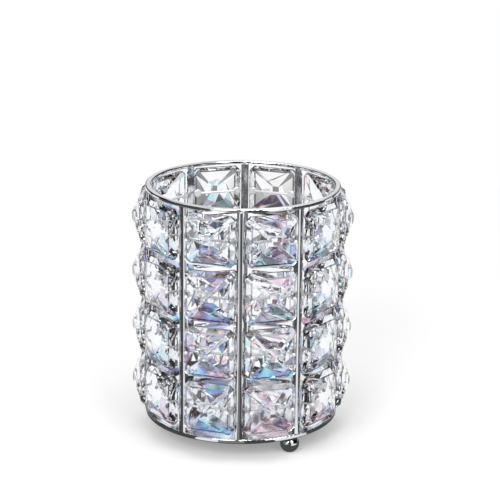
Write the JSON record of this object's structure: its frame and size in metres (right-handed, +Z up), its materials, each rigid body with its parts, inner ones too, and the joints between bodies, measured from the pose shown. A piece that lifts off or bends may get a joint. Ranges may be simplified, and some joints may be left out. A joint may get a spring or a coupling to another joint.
{
  "type": "makeup brush holder",
  "caption": "Cylindrical open cup for makeup brushes: a chrome cage of rings and posts hung with square faceted crystals, standing on ball feet.",
  "frame": {"origin": "on the surface that the cup stands on, on the cup's axis", "axes": "+Z up along the cup's axis, -Y the front, where a post stands exactly in the middle, +X to the right seen from the front"},
  "size_m": [0.0956, 0.093, 0.1109],
  "materials": {
    "crystal": "cut and polished clear crystal with a thin rainbow coating",
    "rings": "bright chrome",
    "posts": "bright chrome",
    "wire": "bright chrome wire",
    "plate": "polished chrome sheet with faint use marks",
    "feet": "bright chrome"
  },
  "bodies": {
    "root": {"crystal_row1_col01": "crystal", "crystal_row1_col02": "crystal", "crystal_row1_col03": "crystal", "crystal_row1_col04": "crystal", "crystal_row1_col05": "crystal", "crystal_row1_col06": "crystal", "crystal_row1_col07": "crystal", "crystal_row1_col08": "crystal", "crystal_row1_col09": "crystal", "crystal_row1_col10": "crystal", "crystal_row2_col01": "crystal", "crystal_row2_col02": "crystal", "crystal_row2_col03": "crystal", "crystal_row2_col04": "crystal", "crystal_row2_col05": "crystal", "crystal_row2_col06": "crystal", "crystal_row2_col07": "crystal", "crystal_row2_col08": "crystal", "crystal_row2_col09": "crystal", "crystal_row2_col10": "crystal", "crystal_row3_col01": "crystal", "crystal_row3_col02": "crystal", "crystal_row3_col03": "crystal", "crystal_row3_col04": "crystal", "crystal_row3_col05": "crystal", "crystal_row3_col06": "crystal", "crystal_row3_col07": "crystal", "crystal_row3_col08": "crystal", "crystal_row3_col09": "crystal", "crystal_row3_col10": "crystal", "crystal_row4_col01": "crystal", "crystal_row4_col02": "crystal", "crystal_row4_col03": "crystal", "crystal_row4_col04": "crystal", "crystal_row4_col05": "crystal", "crystal_row4_col06": "crystal", "crystal_row4_col07": "crystal", "crystal_row4_col08": "crystal", "crystal_row4_col09": "crystal", "crystal_row4_col10": "crystal", "wire_clips_lower": "wire", "wire_clips_upper": "wire", "crystal_pins_lower": "wire", "crystal_pins_upper": "wire", "post_01": "posts", "post_02": "posts", "post_03": "posts", "post_04": "posts", "post_05": "posts", "post_06": "posts", "post_07": "posts", "post_08": "posts", "post_09": "posts", "post_10": "posts", "ball_foot_1": "feet", "ball_foot_2": "feet", "ball_foot_3": "feet", "top_rim": "rings", "bottom_ring": "rings", "base_plate": "plate"}
  },
  "joints": []
}
